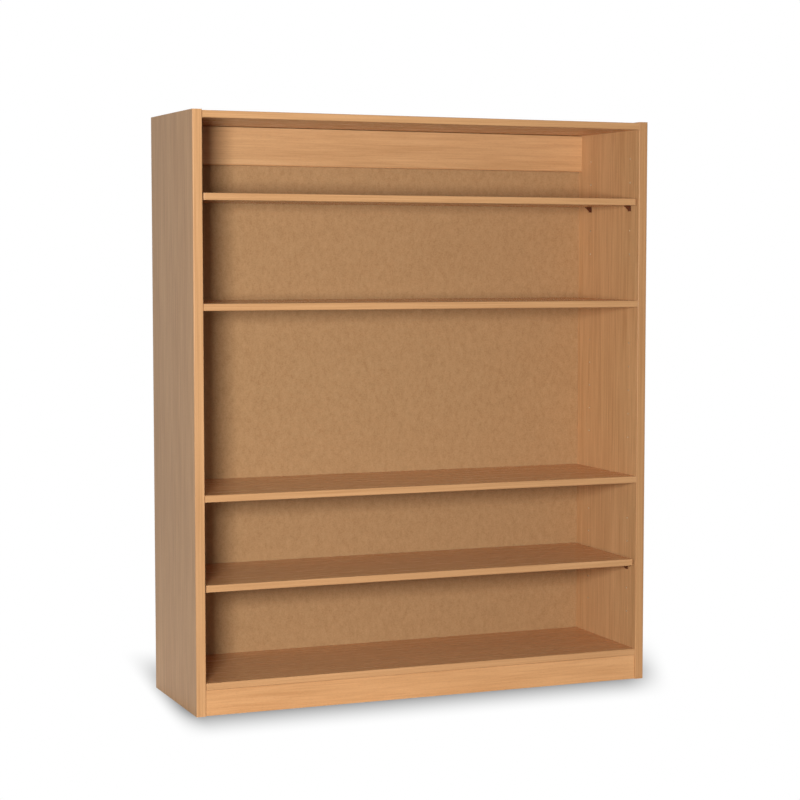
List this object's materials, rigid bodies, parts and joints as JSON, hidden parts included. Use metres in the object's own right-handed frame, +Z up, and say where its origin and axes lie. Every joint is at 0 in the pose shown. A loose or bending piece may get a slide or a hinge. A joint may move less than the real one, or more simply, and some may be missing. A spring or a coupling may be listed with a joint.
{
  "type": "bookcase",
  "caption": "Free-standing open bookcase of beech-effect board with fixed shelves, loose shelves on push-in supports, a plinth, a rear top rail and a fibreboard back.",
  "frame": {"origin": "on the floor, under the centre of the case's bounding box", "axes": "+Z up along the height, +X to the right along the width as seen from the front, +Y from the open front to the back"},
  "size_m": [1.25, 0.39, 1.5],
  "materials": {
    "beech_laminate": "satin beech-effect melamine on chipboard",
    "beech_edging": "satin printed edging strip",
    "fibreboard": "bare medium-density fibreboard",
    "brown_plastic": "moulded, satin",
    "dowel_wood": "bare beech",
    "zinc_steel": "zinc plated"
  },
  "bodies": {
    "carcass": {"left_side_panel": "beech_laminate", "right_side_panel": "beech_laminate", "top_panel": "beech_laminate", "upper_fixed_shelf": "beech_laminate", "lower_fixed_shelf": "beech_laminate", "base_shelf": "beech_laminate", "plinth": "beech_laminate", "top_rear_rail": "beech_laminate", "back_panel": "fibreboard", "left_side_edging": "beech_edging", "right_side_edging": "beech_edging", "top_panel_edging": "beech_edging", "upper_fixed_shelf_edging": "beech_edging", "lower_fixed_shelf_edging": "beech_edging", "base_shelf_edging": "beech_edging", "top_rear_rail_edging": "beech_edging", "top_panel_dowel_front_left": "dowel_wood", "top_panel_dowel_front_right": "dowel_wood", "top_panel_dowel_rear_left": "dowel_wood", "top_panel_dowel_rear_right": "dowel_wood", "upper_fixed_shelf_dowel_front_left": "dowel_wood", "upper_fixed_shelf_dowel_front_right": "dowel_wood", "upper_fixed_shelf_dowel_rear_left": "dowel_wood", "upper_fixed_shelf_dowel_rear_right": "dowel_wood", "lower_fixed_shelf_dowel_front_left": "dowel_wood", "lower_fixed_shelf_dowel_front_right": "dowel_wood", "lower_fixed_shelf_dowel_rear_left": "dowel_wood", "lower_fixed_shelf_dowel_rear_right": "dowel_wood", "base_shelf_dowel_front_left": "dowel_wood", "base_shelf_dowel_front_right": "dowel_wood", "base_shelf_dowel_rear_left": "dowel_wood", "base_shelf_dowel_rear_right": "dowel_wood", "top_rear_rail_dowel_upper_left": "dowel_wood", "top_rear_rail_dowel_upper_right": "dowel_wood", "top_rear_rail_dowel_lower_left": "dowel_wood", "top_rear_rail_dowel_lower_right": "dowel_wood", "plinth_dowel_upper_left": "dowel_wood", "plinth_dowel_upper_right": "dowel_wood", "plinth_dowel_lower_left": "dowel_wood", "plinth_dowel_lower_right": "dowel_wood", "back_panel_screw_left": "zinc_steel", "back_panel_screw_middle": "zinc_steel", "back_panel_screw_right": "zinc_steel"},
    "upper_shelf": {"upper_adjustable_shelf": "beech_laminate", "upper_adjustable_shelf_front_edging": "beech_edging", "upper_adjustable_shelf_left_edging": "beech_edging", "upper_adjustable_shelf_right_edging": "beech_edging"},
    "lower_shelf": {"lower_adjustable_shelf": "beech_laminate", "lower_adjustable_shelf_front_edging": "beech_edging", "lower_adjustable_shelf_left_edging": "beech_edging", "lower_adjustable_shelf_right_edging": "beech_edging"},
    "upper_support_front_left": {"upper_shelf_support_front_left": "brown_plastic"},
    "upper_support_front_right": {"upper_shelf_support_front_right": "brown_plastic"},
    "upper_support_rear_left": {"upper_shelf_support_rear_left": "brown_plastic"},
    "upper_support_rear_right": {"upper_shelf_support_rear_right": "brown_plastic"},
    "lower_support_front_left": {"lower_shelf_support_front_left": "brown_plastic"},
    "lower_support_front_right": {"lower_shelf_support_front_right": "brown_plastic"},
    "lower_support_rear_left": {"lower_shelf_support_rear_left": "brown_plastic"},
    "lower_support_rear_right": {"lower_shelf_support_rear_right": "brown_plastic"}
  },
  "joints": [
    {"name": "upper_shelf_slide", "type": "slide", "parent": "carcass", "child": "upper_shelf", "axis": [0, -1, 0], "range_m": [0, 0.36]},
    {"name": "lower_shelf_slide", "type": "slide", "parent": "carcass", "child": "lower_shelf", "axis": [0, -1, 0], "range_m": [0, 0.36]},
    {"name": "upper_front_left_support_pull", "type": "slide", "parent": "carcass", "child": "upper_support_front_left", "axis": [1, 0, 0], "range_m": [0, 0.012]},
    {"name": "upper_front_right_support_pull", "type": "slide", "parent": "carcass", "child": "upper_support_front_right", "axis": [-1, 0, 0], "range_m": [0, 0.012]},
    {"name": "upper_rear_left_support_pull", "type": "slide", "parent": "carcass", "child": "upper_support_rear_left", "axis": [1, 0, 0], "range_m": [0, 0.012]},
    {"name": "upper_rear_right_support_pull", "type": "slide", "parent": "carcass", "child": "upper_support_rear_right", "axis": [-1, 0, 0], "range_m": [0, 0.012]},
    {"name": "lower_front_left_support_pull", "type": "slide", "parent": "carcass", "child": "lower_support_front_left", "axis": [1, 0, 0], "range_m": [0, 0.012]},
    {"name": "lower_front_right_support_pull", "type": "slide", "parent": "carcass", "child": "lower_support_front_right", "axis": [-1, 0, 0], "range_m": [0, 0.012]},
    {"name": "lower_rear_left_support_pull", "type": "slide", "parent": "carcass", "child": "lower_support_rear_left", "axis": [1, 0, 0], "range_m": [0, 0.012]},
    {"name": "lower_rear_right_support_pull", "type": "slide", "parent": "carcass", "child": "lower_support_rear_right", "axis": [-1, 0, 0], "range_m": [0, 0.012]}
  ]
}
